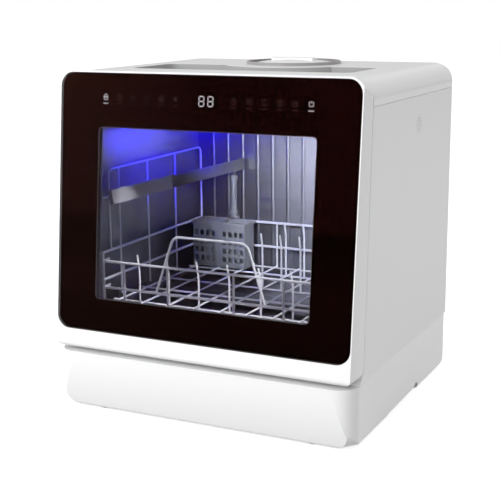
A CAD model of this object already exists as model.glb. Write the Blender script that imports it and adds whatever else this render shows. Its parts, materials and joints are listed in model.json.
"""Looks of the countertop dishwasher, built around its fixed frame."""
import json
import math
import bpy
from mathutils import Matrix, Vector


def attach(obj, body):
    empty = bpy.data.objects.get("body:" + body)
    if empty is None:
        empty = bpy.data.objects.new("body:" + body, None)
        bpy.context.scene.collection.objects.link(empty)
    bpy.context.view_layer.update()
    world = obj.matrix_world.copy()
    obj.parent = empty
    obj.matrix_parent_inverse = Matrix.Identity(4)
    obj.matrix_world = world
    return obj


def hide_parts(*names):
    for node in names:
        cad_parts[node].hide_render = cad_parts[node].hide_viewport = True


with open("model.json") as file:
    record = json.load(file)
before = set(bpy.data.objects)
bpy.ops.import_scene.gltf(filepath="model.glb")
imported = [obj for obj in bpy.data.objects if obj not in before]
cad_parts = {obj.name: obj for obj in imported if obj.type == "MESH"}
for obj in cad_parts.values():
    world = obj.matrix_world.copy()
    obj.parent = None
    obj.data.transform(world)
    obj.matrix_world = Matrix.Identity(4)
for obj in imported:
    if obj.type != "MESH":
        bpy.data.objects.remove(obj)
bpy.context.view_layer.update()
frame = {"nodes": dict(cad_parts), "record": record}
nodes = frame["nodes"]

# Sizes shared with the solids, in millimetres
RACK_HALF, RACK_FRONT, RACK_BACK = 166.0, -136.4, 141.0
FLOOR_Z, LOW_Z, HIGH_Z, SIDE_Z, HOOP_Z, GUARD_Z = 135.0, 157.0, 193.0, 204.0, 234.0, 313.0
RAIL_D, TINE_D = 3.6, 2.6
HINGE_Y, HINGE_Z, DOOR_RAKE = -175.0, 101.5, math.radians(5.9)
GLASS_BACK, PRINT_FRONT = -12.1, -11.9
SHELF_X, SHELF_Z, SHELF_TILT = -161.2, 278.7, math.radians(10)
SHELF_Y, SHELF_LEN, REACH_FRONT, REACH_BACK, STRIP_T = -142.0, 288.0, 17.0, 68.0, 3.0
WINDOW_HALF, WINDOW_LOW, WINDOW_HIGH, WINDOW_R = 151.0, 51.2, 274.2, 6.5
TRAY_Z, TRAY_X, TRAY_FRONT, TRAY_BACK, TRAY_R = 432.0, 157.0, -70.0, 41.0, 14.0
FILLER_X, FILLER_Y, BAY_R = 8.0, 98.0, 98.0


def metres(x, y, z):
    """Point in metres from millimetres."""
    return Vector((x, y, z)) / 1000


def on_door(x, y, z):
    """Point of the closed door: x across, y into the machine, z up the face."""
    c, s = math.cos(DOOR_RAKE), math.sin(DOOR_RAKE)
    return metres(x, HINGE_Y + y * c + z * s, HINGE_Z - y * s + z * c)


def on_shelf(x, y, z):
    """Point of the cup shelf: x out along its slope, z up from it."""
    c, s = math.cos(SHELF_TILT), math.sin(SHELF_TILT)
    return metres(SHELF_X + x * c - z * s, y, SHELF_Z + x * s + z * c)


# ---------------------------------------------------------------- shader groups
def new_group(name, inputs, outputs):
    """Empty shader group with named sockets, and its two end nodes."""
    tree = bpy.data.node_groups.new(name, "ShaderNodeTree")
    for label, kind, value in inputs:
        socket = tree.interface.new_socket(label, in_out="INPUT", socket_type=kind)
        socket.default_value = value
    for label, kind in outputs:
        tree.interface.new_socket(label, in_out="OUTPUT", socket_type=kind)
    return tree, tree.nodes.new("NodeGroupInput"), tree.nodes.new("NodeGroupOutput")


def add(tree, kind, links=None, **settings):
    """Adds a node; links maps its input names or numbers to sockets or plain values."""
    node = tree.nodes.new(kind)
    for key, value in settings.items():
        setattr(node, key, value)
    for key, value in (links or {}).items():
        socket = node.inputs[key]
        if isinstance(value, bpy.types.NodeSocket):
            tree.links.new(value, socket)
        else:
            socket.default_value = value
    return node


SURFACE_OUTPUTS = (("Colour", "NodeSocketColor"), ("Roughness", "NodeSocketFloat"),
                   ("Normal", "NodeSocketVector"))


def moulded_skin():
    """Fine grain, faint tone drift and uneven gloss of moulded, painted or coated surfaces."""
    tree, inp, out = new_group("moulded_skin", [
        ("Colour", "NodeSocketColor", (0.8, 0.8, 0.8, 1)), ("Tone drift", "NodeSocketFloat", 0.03),
        ("Grain scale", "NodeSocketFloat", 900.0), ("Grain depth", "NodeSocketFloat", 0.05),
        ("Roughness", "NodeSocketFloat", 0.35), ("Gloss drift", "NodeSocketFloat", 0.05)],
        SURFACE_OUTPUTS)
    place = add(tree, "ShaderNodeTexCoord")
    grain = add(tree, "ShaderNodeTexNoise", {"Vector": place.outputs["Object"],
                                              "Scale": inp.outputs["Grain scale"], "Detail": 3.0})
    broad = add(tree, "ShaderNodeTexNoise", {"Vector": place.outputs["Object"],
                                              "Scale": 9.0, "Detail": 2.0})
    drift = add(tree, "ShaderNodeMath", {0: broad.outputs["Fac"], 1: 0.5}, operation="SUBTRACT")
    tone = add(tree, "ShaderNodeMath", {0: drift.outputs[0], 1: inp.outputs["Tone drift"], 2: 1.0},
               operation="MULTIPLY_ADD")
    scaled = add(tree, "ShaderNodeVectorMath", {0: inp.outputs["Colour"], "Scale": tone.outputs[0]},
                 operation="SCALE")
    fine = add(tree, "ShaderNodeMath", {0: grain.outputs["Fac"], 1: 0.5}, operation="SUBTRACT")
    both = add(tree, "ShaderNodeMath", {0: fine.outputs[0], 1: drift.outputs[0]}, operation="ADD")
    gloss = add(tree, "ShaderNodeMath", {0: both.outputs[0], 1: inp.outputs["Gloss drift"],
                                          2: inp.outputs["Roughness"]}, operation="MULTIPLY_ADD")
    bump = add(tree, "ShaderNodeBump", {"Strength": inp.outputs["Grain depth"], "Distance": 0.0002,
                                         "Height": grain.outputs["Fac"]})
    tree.links.new(scaled.outputs["Vector"], out.inputs["Colour"])
    tree.links.new(gloss.outputs[0], out.inputs["Roughness"])
    tree.links.new(bump.outputs["Normal"], out.inputs["Normal"])
    return tree


def brushed_lines():
    """Long fine scratches of rolled and brushed sheet."""
    tree, inp, out = new_group("brushed_lines", [
        ("Colour", "NodeSocketColor", (0.6, 0.6, 0.6, 1)),
        ("Lay", "NodeSocketVector", (8.0, 900.0, 900.0)), ("Contrast", "NodeSocketFloat", 0.12),
        ("Depth", "NodeSocketFloat", 0.06), ("Roughness", "NodeSocketFloat", 0.3)],
        SURFACE_OUTPUTS)
    place = add(tree, "ShaderNodeTexCoord")
    stretched = add(tree, "ShaderNodeVectorMath", {0: place.outputs["Object"], 1: inp.outputs["Lay"]},
                    operation="MULTIPLY")
    lines = add(tree, "ShaderNodeTexNoise", {"Vector": stretched.outputs["Vector"],
                                              "Scale": 1.0, "Detail": 4.0})
    drift = add(tree, "ShaderNodeMath", {0: lines.outputs["Fac"], 1: 0.5}, operation="SUBTRACT")
    tone = add(tree, "ShaderNodeMath", {0: drift.outputs[0], 1: inp.outputs["Contrast"], 2: 1.0},
               operation="MULTIPLY_ADD")
    scaled = add(tree, "ShaderNodeVectorMath", {0: inp.outputs["Colour"], "Scale": tone.outputs[0]},
                 operation="SCALE")
    gloss = add(tree, "ShaderNodeMath", {0: drift.outputs[0], 1: 0.25, 2: inp.outputs["Roughness"]},
                operation="MULTIPLY_ADD")
    bump = add(tree, "ShaderNodeBump", {"Strength": inp.outputs["Depth"], "Distance": 0.0002,
                                         "Height": lines.outputs["Fac"]})
    tree.links.new(scaled.outputs["Vector"], out.inputs["Colour"])
    tree.links.new(gloss.outputs[0], out.inputs["Roughness"])
    tree.links.new(bump.outputs["Normal"], out.inputs["Normal"])
    return tree


SKIN, BRUSHED = moulded_skin(), brushed_lines()
WARM_GLOSS, GLASS_IOR, COAT_ROUGHNESS = (0.8, 0.2, 0.16), 1.08, 0.08
finishes = {}


def new_finish(name, roughness=0.4, metallic=0.0, ior=1.45, coat=0.0, transmission=0.0,
               glow=None, glow_strength=0.0, gloss_tint=None):
    """Material with its plain values set on the shader's own sockets."""
    made = bpy.data.materials.new(name)
    made.use_nodes = True
    tree = made.node_tree
    shader = tree.nodes["Principled BSDF"]
    shader.inputs["Roughness"].default_value = roughness
    shader.inputs["Metallic"].default_value = metallic
    shader.inputs["IOR"].default_value = ior
    shader.inputs["Coat Weight"].default_value = coat
    shader.inputs["Transmission Weight"].default_value = transmission
    if coat:
        shader.inputs["Coat Roughness"].default_value = COAT_ROUGHNESS
    if gloss_tint:
        shader.inputs["Specular Tint"].default_value = (*gloss_tint, 1)
    if glow:
        shader.inputs["Emission Color"].default_value = (*glow, 1)
        shader.inputs["Emission Strength"].default_value = glow_strength
    finishes[name] = made
    return tree, shader


def group_finish(name, pattern, values, **more):
    """Finish whose colour, roughness and normal come from a group placed with its own values."""
    tree, shader = new_finish(name, values["Roughness"], **more)
    group = add(tree, "ShaderNodeGroup", node_tree=pattern)
    for key, value in values.items():
        group.inputs[key].default_value = value
    for output, socket in (("Colour", "Base Color"), ("Roughness", "Roughness"), ("Normal", "Normal")):
        tree.links.new(group.outputs[output], shader.inputs[socket])
    return tree, group


def skin_finish(name, colour, roughness=0.4, tone=0.03, grain=900.0, depth=0.05, gloss=0.05, **more):
    """Moulded, painted or coated surface."""
    return group_finish(name, SKIN, {
        "Colour": (*colour, 1), "Tone drift": tone, "Grain scale": grain, "Grain depth": depth,
        "Roughness": roughness, "Gloss drift": gloss}, **more)


def brushed_finish(name, colour, lay, roughness=0.3, contrast=0.12, depth=0.06):
    """Bare metal; lay is the fineness of its lines along x, y and z."""
    return group_finish(name, BRUSHED, {
        "Colour": (*colour, 1), "Lay": lay, "Contrast": contrast, "Depth": depth,
        "Roughness": roughness}, metallic=1.0)


def print_finish(name, warm, plain):
    """Print behind the glass, a little warmer towards the upper left corner."""
    tree, group = skin_finish(name, plain, 0.6, tone=0.2, grain=600, depth=0.0, ior=GLASS_IOR,
                              gloss_tint=WARM_GLOSS)
    place = add(tree, "ShaderNodeTexCoord")
    parts = add(tree, "ShaderNodeSeparateXYZ", {0: place.outputs["Object"]})
    across = add(tree, "ShaderNodeMapRange", {"Value": parts.outputs["X"], "From Min": 0.0,
                                              "From Max": -0.21, "To Min": 0.0, "To Max": 1.0})
    rise = add(tree, "ShaderNodeMapRange", {"Value": parts.outputs["Z"], "From Min": 0.1,
                                            "From Max": 0.43, "To Min": 0.15, "To Max": 1.0})
    both = add(tree, "ShaderNodeMath", {0: across.outputs[0], 1: rise.outputs[0]}, operation="MULTIPLY")
    mix = add(tree, "ShaderNodeMix", data_type="RGBA")
    tree.links.new(both.outputs[0], mix.inputs["Factor"])
    first, second, blended = mix.inputs[6], mix.inputs[7], mix.outputs[2]
    first.default_value = (*plain, 1)
    second.default_value = (*warm, 1)
    tree.links.new(blended, group.inputs["Colour"])


def glass_finish(name, colour, smear=0.02, **more):
    """Pane with faint wiping marks in its gloss."""
    tree, shader = new_finish(name, 0.02, transmission=1.0, ior=GLASS_IOR, **more)
    shader.inputs["Base Color"].default_value = (*colour, 1)
    place = add(tree, "ShaderNodeTexCoord")
    marks = add(tree, "ShaderNodeTexNoise", {"Vector": place.outputs["Object"],
                                              "Scale": 14.0, "Detail": 4.0})
    gloss = add(tree, "ShaderNodeMath", {0: marks.outputs["Fac"], 1: smear, 2: 0.0},
                operation="MULTIPLY_ADD")
    tree.links.new(gloss.outputs[0], shader.inputs["Roughness"])


# Finishes, named as the record's material slots, and three that only the scene has:
# line_grey, tray_grey and dim_print
skin_finish("white_shell", (0.86, 0.86, 0.865), 0.35, tone=0.012, grain=1400, depth=0.02,
            coat=0.35, ior=1.3)
skin_finish("light_panel", (0.86, 0.86, 0.865), 0.38, tone=0.012, grain=1600, depth=0.05)
glass_finish("dark_glass", (0.56, 0.55, 0.56), gloss_tint=WARM_GLOSS)
glass_finish("clear_glass", (0.71, 0.74, 0.82))
print_finish("black_print", (0.04, 0.0155, 0.0105), (0.0036, 0.0008, 0.0006))
skin_finish("trim_grey", (0.02, 0.02, 0.022), 0.5, depth=0.1)
skin_finish("line_grey", (0.3, 0.29, 0.29), 0.35, tone=0.05, depth=0.02)
skin_finish("tray_grey", (0.38, 0.38, 0.385), 0.6, tone=0.03, grain=1500, depth=0.05, ior=1.08)
skin_finish("rubber_grey", (0.035, 0.035, 0.037), 0.7, tone=0.1, depth=0.15)
skin_finish("seal_grey", (0.16, 0.16, 0.165), 0.65, tone=0.08, depth=0.1)
brushed_finish("steel", (0.62, 0.62, 0.63), (900, 900, 10))
brushed_finish("plated_steel", (0.78, 0.78, 0.79), (400, 400, 400), roughness=0.16, contrast=0.05)
brushed_finish("tub_steel", (0.2, 0.2, 0.215), (10, 10, 900), roughness=0.35, contrast=0.08, depth=0.03)
skin_finish("rack_coat", (0.85, 0.84, 0.83), 0.3, tone=0.05, grain=1200, depth=0.08)
skin_finish("shelf_grey", (0.055, 0.055, 0.06), 0.45, tone=0.05, depth=0.1)
skin_finish("grip_grey", (0.32, 0.32, 0.32), 0.4, tone=0.05, depth=0.1)
skin_finish("hub_grey", (0.1, 0.102, 0.106), 0.45, tone=0.05, depth=0.1)
skin_finish("pump_plastic", (0.45, 0.45, 0.44), 0.55, tone=0.08, grain=500, depth=0.2)
skin_finish("tank_plastic", (0.7, 0.72, 0.74), 0.35, tone=0.03, depth=0.05)
skin_finish("hose_grey", (0.3, 0.3, 0.31), 0.5, tone=0.06, depth=0.1)
skin_finish("board_green", (0.01, 0.12, 0.05), 0.4, tone=0.15, grain=300, depth=0.15)
skin_finish("lit_white", (0.8, 0.8, 0.82), 0.4, tone=0.02, depth=0.01, glow=(0.92, 0.96, 1.0),
            glow_strength=1.3)
skin_finish("dim_print", (0.12, 0.1, 0.095), 0.5, tone=0.05, depth=0.01)
skin_finish("lamp_violet", (0.3, 0.3, 0.9), 0.4, tone=0.05, depth=0.02, glow=(0.03, 0.02, 1.0),
            glow_strength=2.0)
brushed_finish("screw_steel", (0.6, 0.6, 0.6), (300, 300, 300), roughness=0.3)

slot_of = {entry["node"]: entry["material_slot"] for entry in frame["record"]["subparts"]}
slot_finish = dict(slot_of, vent_grille="light_panel", filler_collar="line_grey")
for name, part in nodes.items():
    for place in part.material_slots:
        place.material = finishes[slot_finish[name]]


# ---------------------------------------------------------------- bent wire
WIRE_SIDES, BEND_STEPS, BALL_RINGS = 12, 6, 8


def bent_wire_tree():
    """Round wire along the edges of a mesh, with filleted bends and domed ends."""
    tree = bpy.data.node_groups.new("bent_wire", "GeometryNodeTree")
    for label, kind, value in (
            ("Path", "NodeSocketGeometry", None), ("Wire diameter", "NodeSocketFloat", 0.003),
            ("Bend radius", "NodeSocketFloat", 0.006), ("Sides", "NodeSocketInt", WIRE_SIDES),
            ("Steps per bend", "NodeSocketInt", BEND_STEPS), ("Finish", "NodeSocketMaterial", None)):
        socket = tree.interface.new_socket(label, in_out="INPUT", socket_type=kind)
        if value is not None:
            socket.default_value = value
    tree.interface.new_socket("Wire", in_out="OUTPUT", socket_type="NodeSocketGeometry")
    inp, out = tree.nodes.new("NodeGroupInput"), tree.nodes.new("NodeGroupOutput")
    curve = add(tree, "GeometryNodeMeshToCurve", {"Mesh": inp.outputs["Path"]})
    bends = add(tree, "GeometryNodeFilletCurve", {"Curve": curve.outputs["Curve"],
                "Radius": inp.outputs["Bend radius"], "Limit Radius": True})
    bends.mode = "POLY"
    tree.links.new(inp.outputs["Steps per bend"], bends.inputs["Count"])
    half = add(tree, "ShaderNodeMath", {0: inp.outputs["Wire diameter"], 1: 0.5}, operation="MULTIPLY")
    round_section = add(tree, "GeometryNodeCurvePrimitiveCircle",
                        {"Resolution": inp.outputs["Sides"], "Radius": half.outputs[0]})
    rod = add(tree, "GeometryNodeCurveToMesh", {"Curve": bends.outputs["Curve"],
              "Profile Curve": round_section.outputs["Curve"], "Fill Caps": True})
    ends = add(tree, "GeometryNodeCurveEndpointSelection")
    ball = add(tree, "GeometryNodeMeshUVSphere", {"Segments": WIRE_SIDES, "Rings": BALL_RINGS,
               "Radius": half.outputs[0]})
    tips = add(tree, "GeometryNodeInstanceOnPoints", {"Points": bends.outputs["Curve"],
               "Selection": ends.outputs["Selection"], "Instance": ball.outputs["Mesh"]})
    joined = add(tree, "GeometryNodeJoinGeometry")
    tree.links.new(tips.outputs["Instances"], joined.inputs["Geometry"])
    tree.links.new(rod.outputs["Mesh"], joined.inputs["Geometry"])
    real = add(tree, "GeometryNodeRealizeInstances", {"Geometry": joined.outputs["Geometry"]})
    smooth = add(tree, "GeometryNodeSetShadeSmooth", {0: real.outputs["Geometry"]})
    coat = add(tree, "GeometryNodeSetMaterial", {"Geometry": smooth.outputs[0],
               "Material": inp.outputs["Finish"]})
    tree.links.new(coat.outputs["Geometry"], out.inputs["Wire"])
    return tree


WIRE = bent_wire_tree()


def set_inputs(modifier, tree, values):
    """Sets a modifier's inputs by the identifiers of its tree's named sockets."""
    for item in tree.interface.items_tree:
        if item.item_type == "SOCKET" and item.in_out == "INPUT" and item.name in values:
            modifier[item.identifier] = values[item.name]


def place_in_scene(name, data):
    """New object at the origin that shows the mesh, lamp or camera."""
    made = bpy.data.objects.new(name, data)
    bpy.context.scene.collection.objects.link(made)
    return made


def plain_mesh(name, source):
    """Evaluates a modified object into a plain mesh object and removes the source."""
    graph = bpy.context.evaluated_depsgraph_get()
    graph.update()
    made = bpy.data.meshes.new_from_object(source.evaluated_get(graph), depsgraph=graph)
    bpy.data.objects.remove(source)
    made.name = name
    return place_in_scene(name, made)


def wires(name, paths, diameter, bend, body, slot, replaced=()):
    """One piece made of round wires: paths of points in metres, diameter and bend in millimetres."""
    verts, edges = [], []
    for path in paths:
        start = len(verts)
        verts += [tuple(p) for p in path]
        edges += [(start + i, start + i + 1) for i in range(len(path) - 1)]
    mesh = bpy.data.meshes.new(name + "_path")
    mesh.from_pydata(verts, edges, [])
    holder = place_in_scene(name + "_path", mesh)
    modifier = holder.modifiers.new("bent wire", "NODES")
    modifier.node_group = WIRE
    set_inputs(modifier, WIRE, {"Wire diameter": diameter / 1000, "Bend radius": bend / 1000,
                                "Sides": WIRE_SIDES, "Steps per bend": BEND_STEPS,
                                "Finish": finishes[slot]})
    finish_piece(plain_mesh(name, holder), body, slot, replaced)


def finish_piece(piece, body, slot, replaced=()):
    """Says which body carries the piece, its slot, and the nodes it stands for."""
    if not piece.data.materials:
        piece.data.materials.append(finishes[slot])
    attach(piece, body)
    if replaced:
        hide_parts(*replaced)


# ---------------------------------------------------------------- rack
POST_D, HOOP_D = RAIL_D - 0.4, RAIL_D - 0.2
FRONT_POST_X, BACK_POST_X, SIDE_POST_Y = (-134, -67.7, 28.3, 97.7), (-114, -38, 38, 114), (-92, -17, 61)
TURNED_END, POST_FOOT, HOOP_X = 14, 8, (-87, -59, 46, 71)
FLOOR_WIRES, FLOOR_PITCH, CROSS_WIRE_Y, LAID_GAP = 9, 38, (-112, -40, 20, 100), 0.12
PRONGS, PRONG_START, PRONG_PITCH, PRONG_BEND_Z, PRONG_TIP_Z = 7, -125, 45, 178, 197
TALL_PRONGS, TALL_START, TALL_PITCH, TALL_BEND_Z, TALL_TIP_Z = 6, -5, 29, 196, 214
PRONG_LEAN, PRONG_BACK = 5, 4


def upright(x, y, start, end):
    """Straight upright wire from one height to the other."""
    return [metres(x, y, start), metres(x, y, end)]


def rack_front():
    """Two rails with turned ends, the corner posts, and the uprights that carry the rails."""
    h, f, back = RACK_HALF, RACK_FRONT, RACK_FRONT + TURNED_END
    rails = [[metres(-h, back, z), metres(-h, f, z), metres(h, f, z), metres(h, back, z)]
             for z in (LOW_Z, HIGH_Z)]
    rails += [upright(x, f, SIDE_Z, FLOOR_Z) for x in (-h, h)]
    posts = [[*upright(x, f, HIGH_Z, FLOOR_Z), metres(x, f + POST_FOOT, FLOOR_Z)] for x in FRONT_POST_X]
    wires("front_rails_bent", rails, RAIL_D, 7, "rack", "rack_coat", ["rack_front_rails"])
    wires("front_uprights", posts, POST_D, 5, "rack", "rack_coat")


def pull_hoop():
    """Handle in front of the rails."""
    y = RACK_FRONT + POST_D
    bends = [metres(x, y, z) for x, z in zip(HOOP_X, (LOW_Z - 1, HOOP_Z, HOOP_Z, LOW_Z - 1))]
    wires("pull_hoop", [bends], HOOP_D, 12, "rack", "rack_coat", ["rack_hoop"])


def rack_sides():
    """Two rails round the sides and the back, and their uprights."""
    h, f, b = RACK_HALF, RACK_FRONT, RACK_BACK
    loops = [[metres(-h, f, z), metres(-h, b, z), metres(h, b, z), metres(h, f, z)]
             for z in (SIDE_Z, LOW_Z + 10)]
    posts = [upright(x, y, FLOOR_Z + 2, SIDE_Z) for x in (-h, h) for y in SIDE_POST_Y]
    posts += [upright(x, b, FLOOR_Z + 2, SIDE_Z) for x in BACK_POST_X]
    wires("side_rails_bent", loops, RAIL_D, 10, "rack", "rack_coat", ["rack_sides"])
    wires("side_uprights", posts, TINE_D, 4, "rack", "rack_coat")


def rack_floor():
    """Lengthwise wires, spaced from the middle, that lie on the cross wires."""
    z = FLOOR_Z + TINE_D + LAID_GAP
    rows = [(i - FLOOR_WIRES // 2) * FLOOR_PITCH for i in range(FLOOR_WIRES)]
    paths = [[metres(x, RACK_FRONT, z), metres(x, RACK_BACK, z)] for x in rows]
    paths += [[metres(-RACK_HALF, y, FLOOR_Z), metres(RACK_HALF, y, FLOOR_Z)]
              for y in (RACK_FRONT, *CROSS_WIRE_Y, RACK_BACK)]
    wires("floor_wires", paths, TINE_D, 4, "rack", "rack_coat", ["rack_floor"])


def prongs():
    """A front row that leans to the left, and two taller rows that lean to the front."""
    front, _, *tall = CROSS_WIRE_Y
    paths = []
    for x in (PRONG_START + i * PRONG_PITCH for i in range(PRONGS)):
        paths.append([*upright(x, front, FLOOR_Z, PRONG_BEND_Z),
                      metres(x - PRONG_LEAN, front + PRONG_BACK, PRONG_TIP_Z)])
    for y in tall:
        for x in (TALL_START + i * TALL_PITCH for i in range(TALL_PRONGS)):
            paths.append([*upright(x, y, FLOOR_Z, TALL_BEND_Z), metres(x, y - PRONG_LEAN, TALL_TIP_Z)])
    wires("prongs_bent", paths, TINE_D, 14, "rack", "rack_coat", ["plate_tines"])


rack_front()
pull_hoop()
rack_sides()
rack_floor()
prongs()


# ---------------------------------------------------------------- cup shelf and its guard
GUARD_FRONT, GUARD_END = -116, -110
SHELF_RODS, ROD_PITCH, ROD_START, HINGE_ROD_IN = 10, 28.4, 14, 4
TIE_FROM, TIE_TO, TIE_LIFT = 8, 34, 2.0
EYE_R, EYE_D, EYE_Y = 2.9, 2.2, (-120, -22, 56)


def guard():
    """Tall frame on the rack's left side that carries the cup shelf."""
    x = -RACK_HALF
    frame_line = ((GUARD_END, SIDE_Z), (GUARD_FRONT, SIDE_Z), (GUARD_FRONT, GUARD_Z),
                  (RACK_BACK, GUARD_Z), (RACK_BACK, SIDE_Z))
    paths = [upright(x, y, SIDE_Z, GUARD_Z) for y in SIDE_POST_Y]
    paths.append([metres(x, y, z) for y, z in frame_line])
    wires("guard_bent", paths, TINE_D, 9, "rack", "rack_coat", ["rack_guard"])


def shelf_eyes():
    """Eyes on the guard in which the shelf's rod turns."""
    turns = [math.radians(a) for a in range(180, 541, 24)]
    eyes = [[metres(SHELF_X + EYE_R * math.cos(a), y, SHELF_Z + EYE_R * math.sin(a)) for a in turns]
            for y in EYE_Y]
    wires("shelf_eyes", eyes, EYE_D, 0.4, "rack", "rack_coat")


def shelf_rods():
    """Cross wires of the cup shelf, its hinge rod, and the wire that ties them."""
    rows = [SHELF_Y + ROD_START + i * ROD_PITCH for i in range(SHELF_RODS)]
    growth = (REACH_BACK - REACH_FRONT) / SHELF_LEN
    paths = [[on_shelf(0, y, 0), on_shelf(REACH_FRONT + growth * (y - SHELF_Y) - STRIP_T, y, 0)]
             for y in rows]
    paths.append([on_shelf(0, SHELF_Y + HINGE_ROD_IN, 0),
                  on_shelf(0, SHELF_Y + SHELF_LEN - HINGE_ROD_IN, 0)])
    paths.append([on_shelf(TIE_FROM, rows[0], TIE_LIFT), on_shelf(TIE_TO, rows[-1], TIE_LIFT)])
    wires("shelf_rods", paths, TINE_D, 4, "cup_shelf", "rack_coat", ["shelf_wires"])


guard()
shelf_eyes()
shelf_rods()


# ---------------------------------------------------------------- keys and digits
KEY_X = (-140.7, -120.5, -100.7, -80.3, -59.5, -39.7, 40.7, 61.4, 81.7, 101.8, 121.7, 141.9)
ROW_Z, KEY_RISE, KEY_SCALE, KEY_LINE = 310.5, 1.5, 0.86, 0.6
UNDERLINE_HALF, UNDERLINE_DROP, UNDERLINE_T = 3.6, 6.6, 0.8
DIGIT_X, DIGIT_HALF, DIGIT_STEP, DIGIT_LINE = (-3.2, 9.2), 3.4, 5.9, 0.95
LEVEL_HALF, UPRIGHT_HALF = 2.6, 2.2
PRINT_Y, LINE_Y, WINDOW_LINE = GLASS_BACK + 0.06, PRINT_FRONT + 0.6, 0.9


def ribbon(points, width, closed=False):
    """Flat strip along points in the door's face, as quads in (x, z)."""
    pts = [Vector(p) for p in points]
    n = len(pts)
    sides = []
    for i, p in enumerate(pts):
        ways = []
        if closed or i > 0:
            ways.append((p - pts[i - 1]).normalized())
        if closed or i < n - 1:
            ways.append((pts[(i + 1) % n] - p).normalized())
        way = sum(ways, Vector((0, 0))).normalized()
        across = Vector((-way.y, way.x))
        stretch = 1 / max(0.5, across.dot(Vector((-ways[0].y, ways[0].x))))
        sides.append((p + across * width / 2 * stretch, p - across * width / 2 * stretch))
    quads = []
    for i in range(n if closed else n - 1):
        a, b = sides[i], sides[(i + 1) % n]
        quads.append([a[0], b[0], b[1], a[1]])
    return quads


def ring(cx, cz, r, a0=0, a1=360, n=20):
    """Points of a circle, or of an arc with both its ends."""
    count = n if a1 - a0 >= 360 else n + 1
    turns = [math.radians(a0 + (a1 - a0) * i / n) for i in range(count)]
    return [(cx + r * math.cos(turn), cz + r * math.sin(turn)) for turn in turns]


def key_shapes():
    """Twelve plain generic symbols: (closed, points) strokes around the middle of each key."""
    return [
        [(True, [(-4, 0), (0, 4.5), (4, 0)]), (True, [(-2.6, -0.4), (-2.6, -4), (2.6, -4), (2.6, -0.4)])],
        [(True, ring(0, 0, 4)), (False, [(0, 0), (0, 2.8)]), (False, [(0, 0), (2, 0)])],
        [(False, ring(0, 1, 4, 180, 360)), (False, [(-4.6, 1), (4.6, 1)]),
         (False, [(-1, 2.4), (-1, 4.2)])],
        [(False, [(-3, 4), (-3, -4), (3, -4), (3, 4)]), (False, [(-3, 1), (3, 1)])],
        [(True, ring(0, 0, 4)), (True, ring(0, 0, 2.2))],
        [(False, [(-3.6, -3.6), (3.6, 3.6)]), (False, [(-3.6, 3.6), (3.6, -3.6)]),
         (True, ring(0, 0, 1.4))],
        [(True, ring(0, -1, 3.2)), (False, [(-2.6, 1.2), (0, 4.6), (2.6, 1.2)])],
        [(False, [(-4, z), (-2, z + 1), (0, z), (2, z - 1), (4, z)]) for z in (-3, 0, 3)],
        [(False, ring(0, 0, 4, 40, 320)), (False, [(3, 2.6), (1.4, 3.4), (3.4, 4.4)])],
        [(False, ring(0, 0, 4, 180, 360)), (False, ring(0, 0, 4, 0, 180)), (False, [(0, -4), (0, 4)])],
        [(True, [(-3.4, -4), (3.4, -4), (3.4, 0.6), (-3.4, 0.6)]), (False, ring(0, 0.6, 2.2, 0, 180))],
        [(False, ring(0, 0, 3.6, 125, 415)), (False, [(0, 0.8), (0, 4.4)])],
    ]


def flat_on_door(name, quads, y, finish, slot, replaced=()):
    """Thin print on the plane y of the door's own frame, with its faces towards the user."""
    verts = [tuple(on_door(x, y, z)) for quad in quads for x, z in quad]
    faces = [tuple(range(start, start + 4)) for start in range(0, len(verts), 4)]
    mesh = bpy.data.meshes.new(name)
    mesh.from_pydata(verts, [], faces)
    mesh.validate()
    facing = on_door(0, -1, 0) - on_door(0, 0, 0)
    for face in mesh.polygons:
        if face.normal.dot(facing) < 0:
            face.flip()
    mesh.materials.append(finishes[finish])
    finish_piece(place_in_scene(name, mesh), "door", slot, replaced)


def key_marks():
    """Strokes of the two lit keys and of the ten dim ones, each with its underline."""
    lit, dim = [], []
    for x, strokes in zip(KEY_X, key_shapes()):
        marks = lit if x in (KEY_X[0], KEY_X[-1]) else dim
        for closed, points in strokes:
            placed = [(x + px * KEY_SCALE, ROW_Z + KEY_RISE + pz * KEY_SCALE) for px, pz in points]
            marks += ribbon(placed, KEY_LINE, closed)
        z = ROW_Z - UNDERLINE_DROP
        marks += ribbon([(x - UNDERLINE_HALF, z), (x + UNDERLINE_HALF, z)], UNDERLINE_T)
    return lit, dim


def two_eights():
    """All seven bars of both digits."""
    bars = []
    for x in DIGIT_X:
        for z in (ROW_Z - DIGIT_STEP, ROW_Z, ROW_Z + DIGIT_STEP):
            bars += ribbon([(x - LEVEL_HALF, z), (x + LEVEL_HALF, z)], DIGIT_LINE)
        for z in (ROW_Z - DIGIT_STEP / 2, ROW_Z + DIGIT_STEP / 2):
            for edge in (x - DIGIT_HALF, x + DIGIT_HALF):
                bars += ribbon([(edge, z - UPRIGHT_HALF), (edge, z + UPRIGHT_HALF)], DIGIT_LINE)
    return bars


def window_path(inset):
    """Outline of the window on the door's face, in (x, z)."""
    w, z0, z1, r = WINDOW_HALF - inset, WINDOW_LOW + inset, WINDOW_HIGH - inset, WINDOW_R - inset
    corners = ((w - r, z1 - r, 0), (-w + r, z1 - r, 90), (-w + r, z0 + r, 180), (w - r, z0 + r, 270))
    return [point for cx, cz, a in corners for point in ring(cx, cz, r, a, a + 90, 9)]


lit_marks, dim_marks = key_marks()
line = ribbon(window_path(WINDOW_LINE / 2), WINDOW_LINE, True)
flat_on_door("digits_lit", two_eights(), PRINT_Y, "lit_white", "lit_white", ["display_digits"])
flat_on_door("key_marks_lit", lit_marks, PRINT_Y, "lit_white", "lit_white")
flat_on_door("key_marks_dim", dim_marks, PRINT_Y, "dim_print", "black_print")
flat_on_door("window_line", line, LINE_Y, "line_grey", "trim_grey")


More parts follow.
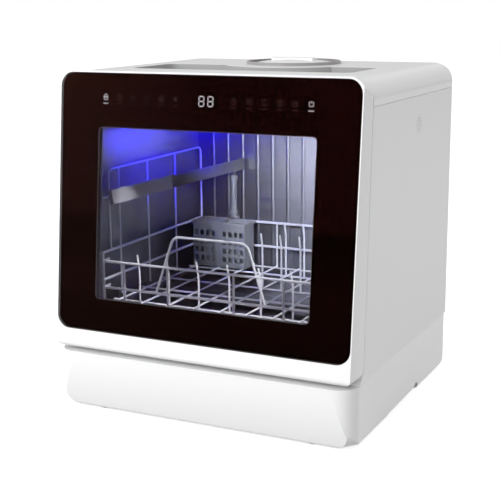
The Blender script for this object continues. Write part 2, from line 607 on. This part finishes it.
# ---------------------------------------------------------------- tray on the top
# Inset from the tray's wall and height over its floor, ring by ring: outside, rim, inside, floor
LINING_RINGS = ((0.3, 0.02), (0.3, 11.5), (0.5, 11.7), (1.0, 11.7),
                (1.2, 11.5), (1.4, 2.0), (1.7, 1.2), (2.5, 1.0))


def tray_outline(inset):
    """Plan of the tray, drawn in by inset: a rounded oblong with a bay round the filler."""
    x, y0, y1, r = TRAY_X - inset, TRAY_FRONT + inset, TRAY_BACK - inset, TRAY_R - inset
    points = []
    for cx, cy, a in ((-x + r, y0 + r, 180), (x - r, y0 + r, 270), (x - r, y1 - r, 0)):
        points += ring(cx, cy, r, a, a + 90, 10)
    bay = BAY_R + inset
    half = math.acos((FILLER_Y - y1) / bay)
    turns = [half - half * i / 20 for i in range(41)]
    points += [(FILLER_X + bay * math.sin(turn), FILLER_Y - bay * math.cos(turn)) for turn in turns]
    return points + ring(-x + r, y1 - r, r, 90, 180, 10)


def tray_face():
    """Satin grey lining of the tray: floor and low walls, with a softened rim."""
    verts = [tuple(metres(x, y, TRAY_Z + z))
             for inset, z in LINING_RINGS for x, y in tray_outline(inset)]
    n = len(verts) // len(LINING_RINGS)
    last = len(verts) - n
    faces = [(k + i, k + (i + 1) % n, k + n + (i + 1) % n, k + n + i)
             for k in range(0, last, n) for i in range(n)]
    faces += [tuple(range(last, last + n)), tuple(reversed(range(n)))]
    mesh = bpy.data.meshes.new("tray_face")
    mesh.from_pydata(verts, [], faces)
    mesh.validate()
    mesh.materials.append(finishes["tray_grey"])
    finish_piece(place_in_scene("tray_face", mesh), "cabinet", "light_panel")


tray_face()


# ---------------------------------------------------------------- camera, light, floor
YAW, PITCH, ROLL = math.radians(26.03), math.radians(12.58), -0.008
CAMERA_PLACE, LENS, FILM_WIDTH = (0.6544, -1.3703, 0.5339), 81.3, 36
ahead = Vector((-math.sin(YAW) * math.cos(PITCH), math.cos(YAW) * math.cos(PITCH), -math.sin(PITCH)))
right = Vector((math.cos(YAW), math.sin(YAW), 0))
up = right.cross(ahead)
across = right * math.cos(ROLL) + up * math.sin(ROLL)
upward = -right * math.sin(ROLL) + up * math.cos(ROLL)
camera = place_in_scene("camera", bpy.data.cameras.new("camera"))
camera.matrix_world = Matrix([(across[i], upward[i], -ahead[i], CAMERA_PLACE[i]) for i in range(3)]
                             + [(0, 0, 0, 1)])
camera.data.lens, camera.data.sensor_width = LENS, FILM_WIDTH
bpy.context.scene.camera = camera


def soft_box(name, place, target, size, power, colour=(1, 1, 1), spread=180):
    """Oblong lamp that faces a target; size in metres, power in watts, spread in degrees."""
    data = bpy.data.lights.new(name, "AREA")
    data.shape, data.energy, data.color = "RECTANGLE", power, colour
    data.size, data.size_y = size
    data.spread = math.radians(spread)
    lamp = place_in_scene(name, data)
    lamp.visible_camera = lamp.visible_transmission = False
    lamp.location = place
    lamp.rotation_euler = (Vector(target) - Vector(place)).to_track_quat("-Z", "Y").to_euler()


soft_box("key_light", (-1.3, -2.7, 1.5), (0, 0, 0.2), (2.8, 2.8), 104)
soft_box("fill_light", (2.3, -0.6, 1.2), (0, 0, 0.25), (1.6, 1.6), 11)
soft_box("top_light", (-0.9, 0.5, 2.2), (0, 0, 0.3), (2.4, 2.4), 7)
soft_box("back_light", (0.9, 3.0, 1.5), (0, 0, 0.3), (2.8, 2.4), 8)
# Inside the tub: the violet wash of its lamp strip, then the light on its walls and on the rails
soft_box("tub_glow", (-0.09, -0.02, 0.352), (-0.187, 0.02, 0.335), (0.16, 0.01), 5.0,
         (0.01, 0.0, 1.0), 100)
soft_box("tub_fill", (0.02, -0.11, 0.34), (0.04, 0.16, 0.22), (0.1, 0.05), 3.2,
         (0.9, 0.93, 1.0), 80)
soft_box("rail_light", (0.0, -0.122, 0.36), (0.0, -0.135, 0.13), (0.24, 0.012), 1.5,
         (1.0, 0.98, 0.95), 50)

STAGE_HALF, STAGE_TONE, STAGE_BOUNCE, STAGE_LIFT, AMBIENT = 8, 0.75, 0.3, 0.72, 0.5


def floor_finish():
    """Pale where it is seen, with the shadow kept, and dull where it only throws light back."""
    made = bpy.data.materials.new("pale_floor")
    made.use_nodes = True
    tree = made.node_tree
    shader = tree.nodes["Principled BSDF"]
    shader.inputs["Base Color"].default_value = (STAGE_TONE, STAGE_TONE, STAGE_TONE, 1)
    shader.inputs["Roughness"].default_value = 0.9
    shader.inputs["Specular IOR Level"].default_value = 0.0
    dull = add(tree, "ShaderNodeBsdfDiffuse", {"Color": (STAGE_BOUNCE, STAGE_BOUNCE, STAGE_BOUNCE, 1)})
    rays = add(tree, "ShaderNodeLightPath").outputs
    direct = add(tree, "ShaderNodeMath", {0: rays["Is Camera Ray"], 1: rays["Is Glossy Ray"]},
                 operation="MAXIMUM")
    seen = add(tree, "ShaderNodeMath", {0: direct.outputs[0], 1: rays["Is Transmission Ray"]},
               operation="MAXIMUM")
    lift = add(tree, "ShaderNodeEmission", {"Color": (1, 1, 1, 1), "Strength": STAGE_LIFT})
    both = add(tree, "ShaderNodeAddShader")
    tree.links.new(shader.outputs[0], both.inputs[0])
    tree.links.new(lift.outputs[0], both.inputs[1])
    pick = add(tree, "ShaderNodeMixShader", {0: seen.outputs[0]})
    tree.links.new(dull.outputs[0], pick.inputs[1])
    tree.links.new(both.outputs[0], pick.inputs[2])
    tree.links.new(pick.outputs[0], tree.nodes["Material Output"].inputs["Surface"])
    return made


floor_mesh = bpy.data.meshes.new("floor")
corners = [(x * STAGE_HALF, y * STAGE_HALF, 0) for x, y in ((-1, -1), (1, -1), (1, 1), (-1, 1))]
floor_mesh.from_pydata(corners, [], [(0, 1, 2, 3)])
floor_mesh.materials.append(floor_finish())
place_in_scene("floor", floor_mesh)

world = bpy.data.worlds.new("studio")
bpy.context.scene.world = world
world.use_nodes = True
sky = world.node_tree
backdrop = sky.nodes["Background"]
rays = add(sky, "ShaderNodeLightPath")
seen = add(sky, "ShaderNodeMath", {0: rays.outputs["Is Camera Ray"], 1: 1.0 - AMBIENT, 2: AMBIENT},
           operation="MULTIPLY_ADD")
sky.links.new(seen.outputs[0], backdrop.inputs["Strength"])
backdrop.inputs["Color"].default_value = (1, 1, 1, 1)
bpy.context.scene.view_settings.view_transform = "Standard"
